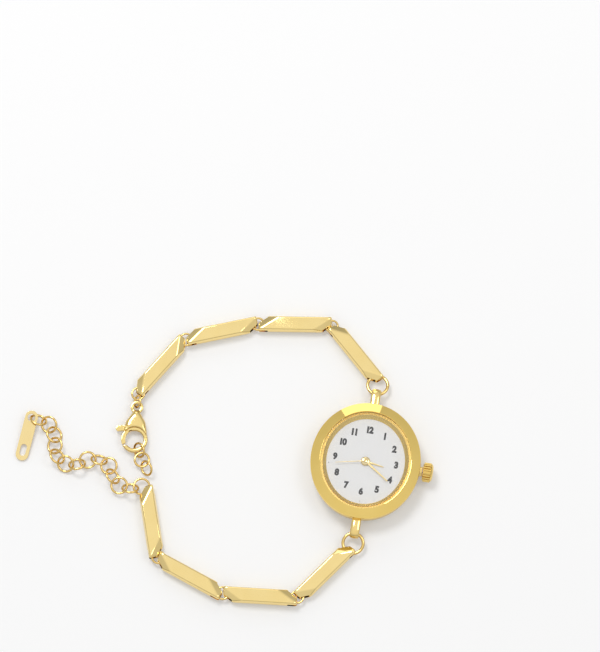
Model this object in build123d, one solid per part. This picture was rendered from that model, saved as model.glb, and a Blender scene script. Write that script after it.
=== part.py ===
from build123d import *
import math
import os

# Quartz bracelet watch: a slightly oval gold head on a bracelet of eight faceted bars,
# closed by a lobster clasp, with an extension chain and an end tag.
# Origin: centre of the case back on the surface that the watch lies on. +Z points out of the dial,
# +Y is the top of the layout and +X points from the clasp to the watch head. Millimetres.

os.makedirs("parts", exist_ok=True)

# Whole head
bezel_diameter = 24.0
oval_rise = 0.95  # the head is taller than wide: each half height has this much over its half width
head_lean = -8.8  # degrees from +Y to 12 o'clock
running_gap = 0.05  # between pieces that seat in each other

# Case back
back_inset = 1.1  # from the case's side to the edge of the back
back_thickness = 0.8
back_edge_chamfer = 0.25
back_notch_width = 2.4
back_notch_depth = 0.35
spigot_height = 0.7
spigot_wall = 0.6

# Case middle
bezel_overhang = 0.3
case_top = 3.45
case_side_round = 0.4
case_wall = 1.95
flange_width = 0.55
flange_height = 0.45
neck_recess = 0.6
neck_height = 1.05

# Bezel, crystal and inner ring
bezel_rim_height = 1.3
bezel_rise = 0.9
bezel_band = 2.1
bezel_lip = 0.12
crystal_thickness = 0.9
crystal_chamfer = 0.15
inner_ring_width = 1.2  # seen from above, from the bore to the opening
inner_ring_lip = 0.45

# Dial and movement
dial_thickness = 0.38
dial_hole_diameter = 1.7
holder_wall = 1.9
plate_thickness = 2.0
plate_rim_wall = 0.7
arbor_floor = 0.3
battery_rim_wall = 0.45  # between the cell and the edge of the plate
battery_arbor_wall = 0.5  # between the cell and the middle of the plate
battery_thickness = 1.65
battery_angle = 215.0  # degrees
battery_step = 0.35
stem_height = 2.35

# Motion work under the dial
gear_module = 0.09
cannon_leaves = 10
minute_teeth = 30
minute_leaves = 8
hour_teeth = 32
wheel_thickness = 0.14
wheel_gap = 0.06
pipe_wall = 0.2
minute_stud_diameter = 0.26
minute_wheel_angle = 150.0  # degrees
tip_share = 0.8
root_share = 1.15
wide_tooth_share = 0.3
narrow_tooth_share = 0.14
hand_tip_share = 0.4
second_arbor_diameter = 0.4

# Hands
hand_thickness = 0.12
hand_gap = 0.12
hour_hand_share = 0.48  # of the opening's radius
minute_hand_share = 0.76
second_hand_share = 0.772
hour_hand_width = 0.42
minute_hand_width = 0.4
second_hand_width = 0.16
hour_hub_diameter = 2.0
minute_hub_diameter = 1.7
second_hub_diameter = 0.95
hour_hand_angle = -99.6  # degrees from 12, clockwise is negative
minute_hand_angle = -125.0
second_hand_angle = -258.7

# Crown and stem
crown_diameter = 4.35
crown_length = 2.3
crown_flutes = 20
crown_flute_depth = 0.16
crown_dome = 0.45
crown_gap = 0.1
crown_tube_diameter = 2.1
crown_tube_length = 0.5
stem_diameter = 0.9
stem_groove_width = 0.45
stem_groove_depth = 0.15
stem_grip = 2.75  # how far the stem goes into the plate
stem_groove_inset = 1.2
crown_pull = 0.8
setting_lever_length = 2.6
setting_lever_width = 1.1
setting_lever_thickness = 0.25

# Lugs of the case, one at 12 and one at 6
bail_width = 1.9
bail_reach = 16.7
bail_hole_diameter = 1.5
bail_hole_height = 2.0
bail_end_wall = 0.35
bail_edge_chamfer = 0.3
bail_ring_play = 0.28

# Jump rings between the head and the bars
jump_ring_diameter = 5.1
jump_ring_wire = 0.7

# Bars
bar_pin_span = 14.75
bar_end_reach = 0.65
bar_nose_width = 0.35
bar_cut_back = 2.3
bar_width = 3.6
bar_flat_width = 2.9
bar_height = 2.6
bar_cut_length = 4.3
bar_end_height = 0.2
bar_pin_diameter = 0.6
bar_slot_height = 1.1
bar_slot_depth = 1.35

# Small rings between the bars
link_ring_diameter = 3.1
link_ring_wire = 0.45
pin_play = 0.05

# Rings of the extension chain, and the ring that the clasp holds
chain_ring_diameter = 3.95
chain_ring_wire = 0.5
chain_pitch = 2.5
hooked_ring_diameter = 3.6
hooked_pitch = 2.18
hooked_roll = 52.0  # degrees

# Clasp
clasp_ring_diameter = 3.1
clasp_ring_wire = 0.5
clasp_ring_roll = 60.0
clasp_end_pitch = 1.75
clasp_eye_pitch = 1.35
bow_outer_diameter = 5.8
bow_hole_diameter = 4.0
bow_thickness = 1.0
bow_edge_chamfer = 0.2
eye_outer_diameter = 2.8
eye_hole_diameter = 1.5
eye_thickness = 0.9
clasp_reach = 10.2  # from the eye to the far edge of the bow
dome_thickness = 2.6
dome_width = 5.2
dome_offset = 1.35
dome_shoulder_width = 4.5
dome_shoulder_offset = 3.1
dome_tip_width = 1.7
dome_tip_inset = 1.6  # from the eye
dome_fillet = 0.85
lever_thickness = 0.7
lever_gap = 0.08
lever_pivot_x = -1.85
lever_pivot_y = 2.55
lever_boss_diameter = 1.3
rivet_diameter = 0.6
tab_length = 1.8
tab_width = 1.25
tab_angle = 188.0  # degrees
gate_start = 140.0  # degrees round the bow
gate_end = 206.0
gate_play = 2.5
gate_landing = 24.0  # of the hook's tip, that the gate's end swings over
spring_strip = 0.14
spring_height = 0.6
cavity_length = 2.4
cavity_reach = 1.15
spring_reach = 1.5

# Rings on the clasp's side of the open pivot
hook_ring_heading = -66.0  # degrees
hook_ring_inset = 0.3  # from the far edge of the bow to the first ring's middle
hung_ring_headings = [-74.0, -62.0]

# End tag
tag_length = 11.2
tag_width = 2.8
tag_thickness = 0.5
tag_hole_diameter = 1.7
tag_hole_inset = 1.5
tag_slot_length = 2.6
tag_slot_width = 1.3
tag_slot_inset = 1.7
tag_heading = 256.0  # degrees
tag_hole_level = 1.35
tag_ring_pitch = 1.65

# How the bracelet lies, in degrees from +X
top_bar_headings = [128.0, 179.0, 192.0, 229.0]
top_pin_heading = 100.0
bottom_bar_headings = [225.0, 176.5, 151.0, 99.0]
bottom_pin_heading = 229.0
clasp_end_ring_heading = 262.0
clasp_heading = 266.0
chain_start_heading = 150.0
chain_headings = [190, 165, 125, 110, 148, 180, 202, 178, 138, 102, 94, 118, 156]
chain_rolls = [0, 46, -10, 46, -14, 46, -20, 40, -30, 40, -30, 30, -30, 44]  # degrees about the chain
tag_ring_heading = 160.0

# Facets of the rings
ring_segments = 18
ring_sides = 6
cut_overrun = 1.0

# Radii and levels that follow from the sizes above
bezel_radius = bezel_diameter / 2
case_radius = bezel_radius - bezel_overhang
back_radius = case_radius - back_inset
case_bore = case_radius - case_wall
case_neck = case_radius - neck_recess
case_neck_top = case_top + neck_height
dial_opening_radius = case_bore - inner_ring_width
spigot_radius = case_bore - running_gap
spigot_top = back_thickness + spigot_height
dial_seat = case_neck_top - flange_height
dial_top = dial_seat - running_gap / 2
dial_bottom = dial_top - dial_thickness
bezel_bottom = case_top + running_gap
bezel_edge = bezel_bottom + bezel_rim_height
bezel_top = bezel_edge + bezel_rise
crystal_radius = bezel_radius - bezel_band - running_gap
crystal_top = bezel_top + crystal_chamfer
crystal_bottom = crystal_top - crystal_thickness
holder_bottom = spigot_top + running_gap
plate_radius = case_bore - running_gap - holder_wall - running_gap
battery_radius = (plate_radius - battery_rim_wall - battery_arbor_wall) / 2
battery_offset = battery_radius + battery_arbor_wall
motion_floor = dial_bottom - 3 * wheel_gap - 2 * wheel_thickness
plate_bottom = motion_floor - plate_thickness
battery_bottom = back_thickness + running_gap
battery_top = battery_bottom + battery_thickness
lower_wheel_bottom = motion_floor + wheel_gap
upper_wheel_bottom = lower_wheel_bottom + wheel_thickness + wheel_gap
wheel_distance = (cannon_leaves + minute_teeth) * gear_module / 2
cannon_radius = second_arbor_diameter / 2 + running_gap + pipe_wall
hour_pipe_radius = cannon_radius + running_gap + pipe_wall
hour_hand_length = hour_hand_share * dial_opening_radius
minute_hand_length = minute_hand_share * dial_opening_radius
second_hand_length = second_hand_share * dial_opening_radius
hour_hand_bottom = dial_top + hand_gap
minute_hand_bottom = hour_hand_bottom + hand_thickness + hand_gap
second_hand_bottom = minute_hand_bottom + hand_thickness + hand_gap
crown_tube_end = bezel_radius + crown_tube_length
crown_start = crown_tube_end + crown_gap
stem_reach = plate_radius - stem_grip
stem_groove_at = stem_reach + stem_groove_inset
setting_lever_bottom = stem_height + stem_diameter / 2 + running_gap
bail_end_radius = bail_hole_diameter / 2 + bail_end_wall
bail_hole_at = bail_reach - bail_end_radius
bail_wire_at = bail_hole_at + bail_hole_diameter / 2 - jump_ring_wire / 2 - bail_ring_play
bail_ring_reach = bail_wire_at + jump_ring_diameter / 2 - jump_ring_wire / 2
bar_level = bar_height / 2
clasp_level = dome_thickness / 2
clasp_length = clasp_reach - bow_outer_diameter / 2
dome_tip_offset = clasp_length - dome_tip_inset
tag_slope = math.degrees(math.asin((tag_hole_level - tag_thickness / 2) / (tag_length - tag_hole_inset)))


def written(shape, name):
    """Save one sub-part under its node's name."""
    shape.label = name
    export_step(shape, f"parts/{name}.step")
    return shape


def head(shape):
    """Turn a piece of the head from dial axes to the layout."""
    return Rot(0, 0, head_lean) * shape


def turned(points):
    """Solid of revolution about Z from its half section, given as radius and height."""
    outline = make_face(Polyline(*[(radius, 0, height) for radius, height in points], close=True))
    return revolve(outline, Axis.Z)


def direction(heading):
    """Unit vector in the plane of the layout."""
    return Vector(math.cos(math.radians(heading)), math.sin(math.radians(heading)), 0)


def disc(radius, bottom, top):
    """Round plate between two heights."""
    return Pos(0, 0, bottom) * extrude(Circle(radius), top - bottom)


def oval(half_width, bottom, top):
    """Oval plate of the head between two heights, taller than wide."""
    return Pos(0, 0, bottom) * extrude(Ellipse(half_width, half_width + oval_rise), top - bottom)


def oval_cone(low_half_width, bottom, high_half_width, top):
    """Solid between two ovals of different size."""
    low = Pos(0, 0, bottom) * Ellipse(low_half_width, low_half_width + oval_rise)
    high = Pos(0, 0, top) * Ellipse(high_half_width, high_half_width + oval_rise)
    return loft([low, high], ruled=True)


def ring_band(outer_radius, inner_radius, bottom, top):
    """Flat round ring between two heights."""
    return Pos(0, 0, bottom) * extrude(Circle(outer_radius) - Circle(inner_radius), top - bottom)


# Case


def case_bail(side):
    """Lug with a cross hole for a jump ring, at 12 (side 1) or 6 (side -1)."""
    root = case_radius - case_wall / 2
    hole_radius = bail_hole_diameter / 2
    web = Box(bail_width, bail_hole_at - root, 2 * bail_end_radius)
    web = Pos(0, (root + bail_hole_at) / 2, bail_hole_height) * web
    end = Pos(0, bail_hole_at, bail_hole_height) * Rot(0, 90, 0) * Cylinder(bail_end_radius, bail_width)
    hole = Rot(0, 90, 0) * Cylinder(hole_radius, bail_width + cut_overrun)
    mouth = Rot(0, 90, 0) * Cone(hole_radius, hole_radius + bail_edge_chamfer, bail_edge_chamfer)
    mouth = Pos((bail_width - bail_edge_chamfer) / 2, 0, 0) * mouth
    cutter = Pos(0, bail_hole_at, bail_hole_height) * (hole + mouth + Rot(0, 0, 180) * mouth)
    lug = web + end - cutter
    return lug if side > 0 else Rot(0, 0, 180) * lug


def crown_place(reach):
    """Frame on the stem's axis at a distance from the middle of the case, with Z outwards."""
    return Pos(reach, 0, stem_height) * Rot(0, 90, 0)


def case_middle():
    """Case ring with both lugs, the crown tube, and seats for the dial, bezel and case back."""
    bottom = back_thickness + running_gap
    round_top = bottom + case_side_round
    body = oval_cone(case_radius - case_side_round, bottom, case_radius, round_top)
    body += oval(case_radius, round_top, case_top) + oval(case_neck, case_top, case_neck_top)
    body += case_bail(1) + case_bail(-1)
    body -= oval(case_bore, bottom - cut_overrun, dial_seat)
    body -= oval(case_bore - flange_width, dial_seat, case_neck_top + cut_overrun)
    tube_length = crown_tube_end - case_neck
    tube = crown_place(case_neck + tube_length / 2) * Cylinder(crown_tube_diameter / 2, tube_length)
    bore_length = 2 * (crown_tube_end - case_bore + cut_overrun)
    bored = crown_place(crown_tube_end) * Cylinder(stem_diameter / 2 + running_gap, bore_length)
    return body + tube - bored


def case_back():
    """Snap-on back: a plate with a chamfered edge, a spigot and an opening notch."""
    plate = oval(back_radius, 0, back_thickness)
    rim = plate.edges().group_by(Axis.Z)[0]
    plate = chamfer(rim, back_edge_chamfer)
    spigot = oval(spigot_radius, back_thickness, spigot_top)
    spigot -= oval(spigot_radius - spigot_wall, back_thickness, spigot_top)
    notch = Box(2 * back_notch_depth, back_notch_width, back_edge_chamfer)
    notch = Pos(-back_radius, 0, back_thickness - back_edge_chamfer / 2) * notch
    return plate + spigot - notch


def bezel():
    """Conical bezel with a skirt that sits over the neck of the case."""
    inner = bezel_radius - bezel_band
    ledge = case_neck_top + running_gap / 2
    ring = oval(bezel_radius, bezel_bottom, bezel_edge)
    ring += oval_cone(bezel_radius, bezel_edge, inner + bezel_lip, bezel_top)
    ring -= oval(case_neck + running_gap, bezel_bottom, ledge)
    ring -= oval(inner, ledge, bezel_top)
    clearance = crown_tube_diameter / 2 + running_gap
    way = crown_place(bezel_radius) * Cylinder(clearance, 2 * case_wall)
    return ring - way


def crystal():
    """Flat crystal with a bevelled upper edge."""
    glass = oval(crystal_radius, crystal_bottom, crystal_top)
    return chamfer(glass.edges().group_by(Axis.Z)[-1], crystal_chamfer)


def inner_ring():
    """Sloping gold ring between the crystal and the dial."""
    opening = dial_opening_radius
    ledge = case_neck_top + running_gap / 2
    low = dial_top + running_gap / 2
    top = crystal_bottom - running_gap / 2
    ring = oval(case_bore - flange_width - running_gap, low, ledge)
    ring += oval(crystal_radius, ledge, top)
    ring -= oval(opening, low, low + running_gap)
    return ring - oval_cone(opening, low + running_gap, crystal_radius - inner_ring_lip, top)


# Dial, movement and motion work


def dial():
    """Dial plate with the hole for the hands' pipes."""
    plate = oval(case_bore - running_gap, dial_bottom, dial_top)
    return plate - disc(dial_hole_diameter / 2, dial_bottom, dial_top)


def battery_centre():
    """Middle of the cell, away from the stem."""
    return battery_offset * direction(battery_angle)


def movement_holder():
    """Plastic ring that carries the round movement inside the oval case."""
    outer = case_bore - running_gap
    band = oval(outer, holder_bottom, dial_bottom) - disc(outer - holder_wall, holder_bottom, dial_bottom)
    way = crown_place(outer) * Cylinder(stem_diameter / 2 + running_gap, 2 * holder_wall + cut_overrun)
    return band - way


def movement_plate():
    """Main plate with a rim up to the dial, pockets for the cell and setting lever, and a stem tunnel."""
    radius = plate_radius
    plate = disc(radius, plate_bottom, motion_floor)
    cell_radius = battery_radius + running_gap
    cell = Pos(*battery_centre()) * disc(cell_radius, plate_bottom - cut_overrun, battery_top + running_gap)
    tunnel_length = 2 * (radius - stem_reach) + running_gap
    tunnel = crown_place(radius) * Cylinder(stem_diameter / 2 + running_gap, tunnel_length)
    pocket_start = stem_groove_at + stem_groove_width - setting_lever_length - running_gap
    pocket_end = stem_groove_at + stem_groove_width + crown_pull + running_gap
    pocket_height = motion_floor - stem_height
    pocket = Box(pocket_end - pocket_start, setting_lever_width + 2 * running_gap, pocket_height)
    pocket = Pos((pocket_start + pocket_end) / 2, 0, stem_height + pocket_height / 2) * pocket
    arbor_hole = disc(second_arbor_diameter / 2 + running_gap, plate_bottom + arbor_floor, motion_floor)
    plate = plate - cell - tunnel - pocket - arbor_hole
    rim = ring_band(radius, radius - plate_rim_wall, motion_floor, dial_bottom)
    stud = Pos(*(wheel_distance * direction(minute_wheel_angle))) * disc(
        minute_stud_diameter / 2, motion_floor, upper_wheel_bottom + wheel_thickness
    )
    return plate + rim + stud


def battery():
    """Button cell with its stepped cap."""
    step = battery_radius - battery_step
    can = disc(battery_radius, battery_bottom + battery_step, battery_top)
    cap = disc(step, battery_bottom, battery_bottom + battery_step)
    return Pos(*battery_centre()) * (can + cap)


def toothed(teeth, bottom, top, phase):
    """Spur wheel with straight-sided teeth."""
    pitch_radius = teeth * gear_module / 2
    tip = pitch_radius + gear_module * tip_share
    root = pitch_radius - gear_module * root_share
    step = 360 / teeth
    points = []
    for index in range(teeth):
        middle = phase + index * step
        for radius, share in ((root, -wide_tooth_share), (tip, -narrow_tooth_share)):
            points.append(radius * direction(middle + share * step))
        for radius, share in ((tip, narrow_tooth_share), (root, wide_tooth_share)):
            points.append(radius * direction(middle + share * step))
    wheel = make_face(Polyline(*points, close=True))
    return Pos(0, 0, bottom) * extrude(wheel, top - bottom)


def hour_wheel():
    """Hour wheel with the pipe that carries the hour hand."""
    wheel = toothed(hour_teeth, upper_wheel_bottom, upper_wheel_bottom + wheel_thickness, minute_wheel_angle)
    pipe = disc(hour_pipe_radius, upper_wheel_bottom, hour_hand_bottom + hand_thickness)
    bore = disc(cannon_radius + running_gap, upper_wheel_bottom, hour_hand_bottom + hand_thickness)
    return wheel + pipe - bore


def cannon_pinion():
    """Pinion whose pipe carries the minute hand."""
    leaves = toothed(
        cannon_leaves, lower_wheel_bottom, lower_wheel_bottom + wheel_thickness, minute_wheel_angle
    )
    pipe_top = minute_hand_bottom + hand_thickness
    pipe = disc(cannon_radius, lower_wheel_bottom, pipe_top)
    bore = disc(second_arbor_diameter / 2 + running_gap, lower_wheel_bottom, pipe_top)
    return leaves + pipe - bore


def minute_wheel():
    """Idler wheel and pinion beside the centre, on a stud of its own."""
    wheel_phase = 180 + 180 / minute_teeth
    pinion_phase = 180 + 180 / minute_leaves
    wheel = toothed(minute_teeth, lower_wheel_bottom, lower_wheel_bottom + wheel_thickness, wheel_phase)
    pinion_top = upper_wheel_bottom + wheel_thickness
    pinion = toothed(minute_leaves, lower_wheel_bottom + wheel_thickness, pinion_top, pinion_phase)
    bore = disc(minute_stud_diameter / 2 + running_gap, lower_wheel_bottom, pinion_top)
    stack = Pos(wheel_distance, 0, 0) * (wheel + pinion - bore)
    return Rot(0, 0, minute_wheel_angle) * stack


# Hands


def hand(length, width, hub_diameter, bore_radius, bottom, angle):
    """Slim tapering hand with a round hub."""
    root = width / 2
    tip = root * hand_tip_share
    blade = make_face(Polyline((-root, 0), (root, 0), (tip, length), (-tip, length), close=True))
    outline = blade + Circle(hub_diameter / 2)
    if bore_radius > 0:
        outline -= Circle(bore_radius)
    return Rot(0, 0, angle) * Pos(0, 0, bottom) * extrude(outline, hand_thickness)


def hour_hand():
    return hand(
        hour_hand_length, hour_hand_width, hour_hub_diameter, hour_pipe_radius, hour_hand_bottom,
        hour_hand_angle,
    )


def minute_hand():
    return hand(
        minute_hand_length, minute_hand_width, minute_hub_diameter, cannon_radius, minute_hand_bottom,
        minute_hand_angle,
    )


def second_hand():
    """Second hand with its boss and the long arbor down to the movement."""
    blade = hand(
        second_hand_length, second_hand_width, second_hub_diameter, 0, second_hand_bottom, second_hand_angle
    )
    arbor_bottom = plate_bottom + arbor_floor + running_gap
    arbor = disc(second_arbor_diameter / 2, arbor_bottom, second_hand_bottom + hand_thickness)
    return blade + arbor


# Crown and setting


def setting_stem():
    """Stem with the groove that the setting lever holds."""
    length = crown_start + crown_length / 2 - stem_reach
    stem = crown_place(stem_reach + length / 2) * Cylinder(stem_diameter / 2, length)
    groove = crown_place(stem_groove_at) * Cylinder(stem_diameter / 2 + cut_overrun, stem_groove_width)
    core = crown_place(stem_groove_at) * Cylinder(stem_diameter / 2 - stem_groove_depth, stem_groove_width)
    return stem - (groove - core)


def crown():
    """Fluted crown with a domed end and a blind hole for the stem."""
    radius = crown_diameter / 2
    grip = crown_length - crown_dome
    outline = Circle(radius)
    flutes = PolarLocations(radius, crown_flutes) * Circle(crown_flute_depth)
    body = extrude(outline - flutes, grip)
    dome_face = radius - crown_dome
    cap = Pos(0, 0, grip) * turned([
        (0, 0), (radius - crown_flute_depth, 0), (radius - crown_flute_depth, crown_dome / 2),
        (dome_face, crown_dome), (0, crown_dome),
    ])
    hole = Pos(0, 0, crown_length / 4) * Cylinder(stem_diameter / 2, crown_length / 2)
    return crown_place(crown_start) * (body + cap - hole)


def setting_lever():
    """Small lever whose finger sits in the stem's groove and moves with it."""
    plate = Box(setting_lever_length, setting_lever_width, setting_lever_thickness)
    plate_middle = stem_groove_at + stem_groove_width - setting_lever_length / 2
    plate = Pos(plate_middle, 0, setting_lever_bottom + setting_lever_thickness / 2) * plate
    finger_width = stem_groove_width - 2 * running_gap
    finger_bottom = stem_height + stem_diameter / 2 - stem_groove_depth + running_gap
    finger_height = setting_lever_bottom - finger_bottom
    finger = Box(finger_width, finger_width, finger_height)
    finger = Pos(stem_groove_at, 0, finger_bottom + finger_height / 2) * finger
    return plate + finger


# Bracelet


def round_ring(diameter, wire):
    """Wire ring in the XY plane, in flat facets."""
    rod = wire / 2
    middle = diameter / 2 - rod

    def corner(segment, side):
        turn = math.pi * (2 * segment + 1) / ring_segments
        roll = 2 * math.pi * side / ring_sides
        out = middle + rod * math.cos(roll)
        return Vector(out * math.cos(turn), out * math.sin(turn), rod * math.sin(roll))

    faces = []
    for segment in range(ring_segments):
        for side in range(ring_sides):
            facet = [
                corner(segment, side), corner(segment + 1, side),
                corner(segment + 1, side + 1), corner(segment, side + 1),
            ]
            faces.append(Face(Wire.make_polygon(facet)))
    return Solid(Shell(faces))


def bar_link():
    """Six-sided bar with skewed, wedge-cut ends, each with a slot and an upright pin for a ring."""
    end = bar_pin_span / 2 + bar_end_reach
    edge = bar_width / 2
    flat = bar_flat_width / 2
    half = bar_height / 2
    section = Plane.YZ * make_face(Polyline(
        (-flat, half), (flat, half), (edge, 0), (flat, -half), (-flat, -half), (-edge, 0), close=True,
    ))
    outline = make_face(Polyline(
        (end, edge), (end, -bar_nose_width), (end - bar_cut_back, -edge),
        (-end, -edge), (-end, bar_nose_width), (bar_cut_back - end, edge), close=True,
    ))
    bar = extrude(section, end, both=True) & extrude(outline, half, both=True)
    slot_length = bar_slot_depth + bar_end_reach
    slot = Box(slot_length, bar_width, bar_slot_height)
    pin = Cylinder(bar_pin_diameter / 2, bar_slot_height)
    for turn in (0, 180):
        for over in (1, -1):
            bar = split(bar, bisect_by=Rot(0, 0, turn) * wedge_plane(end, flat, half, over), keep=Keep.BOTTOM)
        bar -= Rot(0, 0, turn) * Pos(end - slot_length / 2, 0, 0) * slot
        bar += Rot(0, 0, turn) * Pos(bar_pin_span / 2, 0, 0) * pin
    return bar


def wedge_plane(end, flat, half, over):
    """Cutting plane of a bar's end, above (over 1) or below (over -1), facing away from the bar."""
    tip = Vector(end, flat, over * half)
    inner = Vector(end - bar_cut_length, -flat, over * half)
    low = Vector(end, -flat, over * bar_end_height)
    return Plane(origin=tip, x_dir=(inner - tip).normalized(), z_dir=(inner - tip).cross(low - tip) * over)


def flat_at(point, heading, level, flip=False):
    """Frame at a point of the layout, with X along a heading, turned over if asked."""
    over = Rot(180, 0, 0) if flip else Rot(0, 0, 0)
    return Pos(point.X, point.Y, level) * Rot(0, 0, heading) * over


def rolled_level(diameter, wire, roll):
    """Height of the middle of a ring that is rolled about its heading and touches the resting surface."""
    return (diameter - wire) / 2 * math.sin(math.radians(abs(roll))) + wire / 2


def standing(point, heading, diameter, wire, roll):
    """Frame for a ring that leans on the resting surface, rolled about its heading."""
    return flat_at(point, heading, rolled_level(diameter, wire, roll)) * Rot(roll, 0, 0)


def mean_heading(first, second):
    """Direction half way between two headings."""
    both = direction(first) + direction(second)
    return math.degrees(math.atan2(both.Y, both.X))


def jump_ring(side, name):
    """Jump ring through a lug of the case and round the first bar's pin."""
    bail = head_direction(side) * bail_ring_reach
    rise = bail_hole_height - bar_level
    span = jump_ring_diameter - jump_ring_wire
    slope = math.degrees(math.asin(rise / span))
    level = (bail_hole_height + bar_level) / 2
    place = flat_at(bail, math.degrees(math.atan2(bail.Y, bail.X)), level)
    return written(place * Rot(0, slope, 0) * round_ring(jump_ring_diameter, jump_ring_wire), name)


def head_direction(side):
    """Unit vector towards 12 (side 1) or 6 (side -1)."""
    return side * direction(90 + head_lean)


def bracelet_arm(side, headings, pin_heading, names, ring_names, flip):
    """Bars and the rings between them, walked outwards from the head; returns the last pin."""
    shape = bar_link()
    ring = round_ring(link_ring_diameter, link_ring_wire)
    ring_step = link_ring_diameter - 2 * link_ring_wire - bar_pin_diameter - 2 * pin_play
    inside = jump_ring_diameter / 2 - jump_ring_wire - bar_pin_diameter / 2 - pin_play
    pin = head_direction(side) * bail_ring_reach + direction(pin_heading) * inside
    for index, heading in enumerate(headings):
        middle = pin + direction(heading) * bar_pin_span / 2
        written(flat_at(middle, heading, bar_level, flip) * shape, names[index])
        print(names[index], "first pin", pin, "heading", heading)
        pin = pin + direction(heading) * bar_pin_span
        if index + 1 < len(headings):
            turn = mean_heading(heading, headings[index + 1])
            centre = pin + direction(turn) * ring_step / 2
            written(flat_at(centre, turn, bar_level) * ring, ring_names[index])
            print(ring_names[index], "centre", centre, "heading", turn)
            pin = pin + direction(turn) * ring_step
    print("last pin", pin)
    return pin


# Clasp, in a frame with its bow round the origin and the eye along +Y


def rounded(first, second, first_diameter, second_diameter):
    """Outline round two circles."""
    one = Pos(*first) * Circle(first_diameter / 2)
    other = Pos(*second) * Circle(second_diameter / 2)
    return make_hull(one.edges() + other.edges())


def slab(outline, thickness):
    """Flat piece of the clasp, half above and half below its middle plane."""
    return extrude(outline, thickness / 2, both=True)


def wedge_slab(start, end, thickness):
    """Wedge of the clasp between two angles round its bow."""
    corners = [bow_outer_diameter * direction(angle) for angle in (start, (start + end) / 2, end)]
    return slab(make_face(Polyline(Vector(0, 0, 0), *corners, close=True)), thickness)


def bow_ring(thickness):
    """Whole ring of the clasp's bow."""
    return slab(Circle(bow_outer_diameter / 2) - Circle(bow_hole_diameter / 2), thickness)


def gate_sweep():
    """Disc round the lever's pivot that its gate's end stays within."""
    pivot = Vector(lever_pivot_x, lever_pivot_y)
    reach = (bow_outer_diameter / 2 * direction(gate_end) - pivot).length
    return Pos(lever_pivot_x, lever_pivot_y) * slab(Circle(reach + lever_gap), bow_thickness)


def clasp_body():
    """Hooked body with a domed back, a slotted cavity for the lever and an eye for its ring."""
    low = Pos(0, dome_offset) * Circle(dome_width / 2)
    shoulder = Pos(0, dome_shoulder_offset) * Circle(dome_shoulder_width / 2)
    tip = Pos(0, dome_tip_offset) * Circle(dome_tip_width / 2)
    dome = slab(make_hull(low.edges() + shoulder.edges() + tip.edges()), dome_thickness)
    groups = dome.edges().group_by(Axis.Z)
    dome = fillet(groups[0] + groups[-1], dome_fillet)
    dome -= slab(Circle(bow_outer_diameter / 2 - bow_edge_chamfer), dome_thickness)
    dome -= wedge_slab(gate_start, gate_end + gate_play, dome_thickness)
    bow = bow_ring(bow_thickness)
    rims = bow.edges().group_by(Axis.Z)
    bow = chamfer(rims[0] + rims[-1], bow_edge_chamfer)
    bow -= wedge_slab(gate_start - 3 * gate_play, gate_end + gate_play, bow_thickness)
    bow -= gate_sweep() & wedge_slab(gate_end, gate_end + gate_landing, bow_thickness)
    eye = Pos(0, clasp_length, 0) * slab(Circle(eye_outer_diameter / 2), eye_thickness)
    eye_hole = Pos(0, clasp_length, 0) * slab(Circle(eye_hole_diameter / 2), dome_thickness)
    slot_height = lever_thickness + 2 * lever_gap
    cavity = Box(cavity_length, cavity_length, slot_height)
    cavity = Pos(lever_pivot_x + cavity_reach - cavity_length / 2, lever_pivot_y, 0) * cavity
    chamber = Pos(lever_pivot_x + spring_reach, lever_pivot_y + spring_reach, 0) * Box(
        cavity_length, spring_reach, slot_height
    )
    rivet_hole = Pos(lever_pivot_x, lever_pivot_y, 0) * Cylinder(rivet_diameter / 2, dome_thickness)
    return dome + bow + eye - eye_hole - cavity - chamber - rivet_hole


def clasp_lever():
    """Sprung lever: gate along the bow, boss on the rivet and thumb tab."""
    pivot = (lever_pivot_x, lever_pivot_y)
    mean_radius = (bow_outer_diameter + bow_hole_diameter) / 4
    gate_root = tuple(mean_radius * direction(gate_start))[:2]
    tab_end = tuple(Vector(*pivot) + (tab_length * direction(tab_angle)))[:2]
    rim = (bow_outer_diameter - bow_hole_diameter) / 2
    arm = slab(rounded(pivot, gate_root, lever_boss_diameter, rim), lever_thickness)
    tab = slab(rounded(pivot, tab_end, tab_width, tab_width), lever_thickness)
    gate = bow_ring(lever_thickness) & wedge_slab(gate_start, gate_end, lever_thickness)
    bore = Pos(*pivot) * Cylinder(rivet_diameter / 2 + running_gap, dome_thickness)
    return arm + tab + gate - bore


def clasp_rivet():
    """Pivot of the lever, flush with the body."""
    length = dome_thickness - dome_fillet
    return Pos(lever_pivot_x, lever_pivot_y, 0) * Cylinder(rivet_diameter / 2, length)


def clasp_spring():
    """Bent strip between the lever's boss and the wall of its chamber."""
    boss_level = lever_pivot_y + lever_boss_diameter / 2 + spring_strip
    boss_top = (lever_pivot_x + lever_boss_diameter / 4, boss_level)
    apex = (lever_pivot_x + spring_reach, boss_level + spring_strip * 3)
    wall = (lever_pivot_x + lever_boss_diameter / 2, lever_pivot_y + 3 * spring_reach / 2 - spring_strip)
    strip = trace(Polyline(boss_top, apex, wall), spring_strip)
    return slab(strip, spring_height)


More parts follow.
